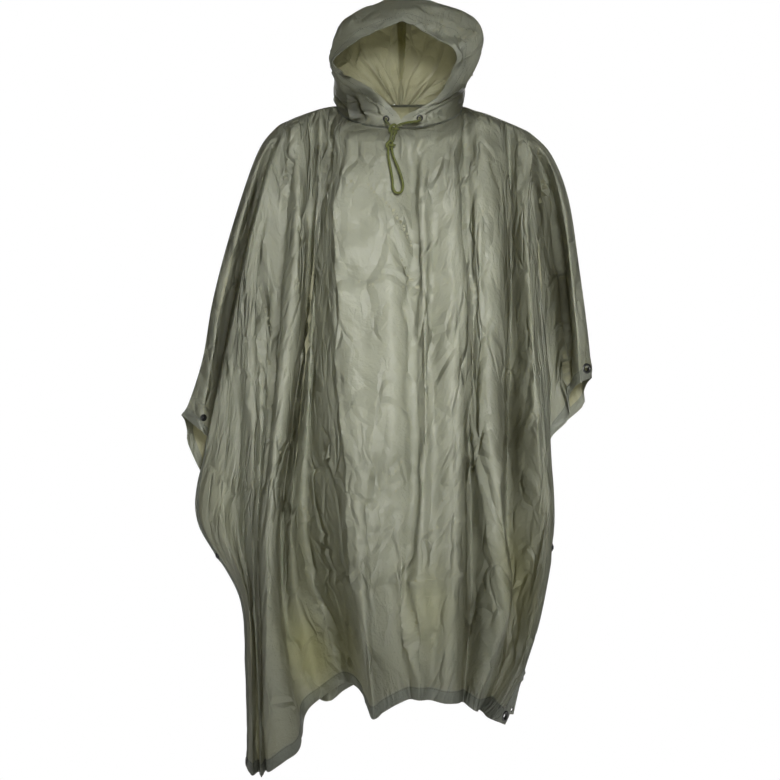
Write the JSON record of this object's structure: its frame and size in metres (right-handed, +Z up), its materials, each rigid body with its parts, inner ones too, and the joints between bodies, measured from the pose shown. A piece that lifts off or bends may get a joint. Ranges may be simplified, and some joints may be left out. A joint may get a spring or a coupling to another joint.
{
  "type": "hooded rain poncho",
  "caption": "Hooded waterproof poncho in worn form, one broad sheet over both arms, with drawcord hood, hemmed edges, eyelets and press studs.",
  "frame": {"origin": "centre of the neck opening, at the height where the hood is sewn on", "axes": "+Z up, front of the garment towards -Y, +X towards the wearer's left arm"},
  "size_m": [0.741, 0.4576, 1.385],
  "materials": {
    "shell": "coated satin",
    "hem": "coated satin",
    "tape": "matte",
    "cord": "braided matte",
    "metal": "dark burnished",
    "snap": "black gloss"
  },
  "bodies": {
    "root": {"back_panel": "shell", "casing_l": "hem", "casing_r": "hem", "drawstring": "cord", "eyelet_arm_r": "metal", "eyelet_back_corner_l": "metal", "eyelet_back_corner_r": "metal", "eyelet_corner_l": "metal", "eyelet_corner_r": "metal", "eyelet_throat_l": "metal", "eyelet_throat_r": "metal", "front_panel": "shell", "hem_back": "hem", "hem_front": "hem", "hood_l": "shell", "hood_r": "shell", "hood_seam_tape": "tape", "knot_lower": "cord", "knot_upper": "cord", "side_hem_back_l": "hem", "side_hem_back_r": "hem", "side_hem_front_l": "hem", "side_hem_front_r": "hem", "snap_arm_l": "snap", "snap_back_l": "snap", "snap_back_r": "snap", "snap_side_l": "snap", "snap_side_r": "snap"}
  },
  "joints": []
}
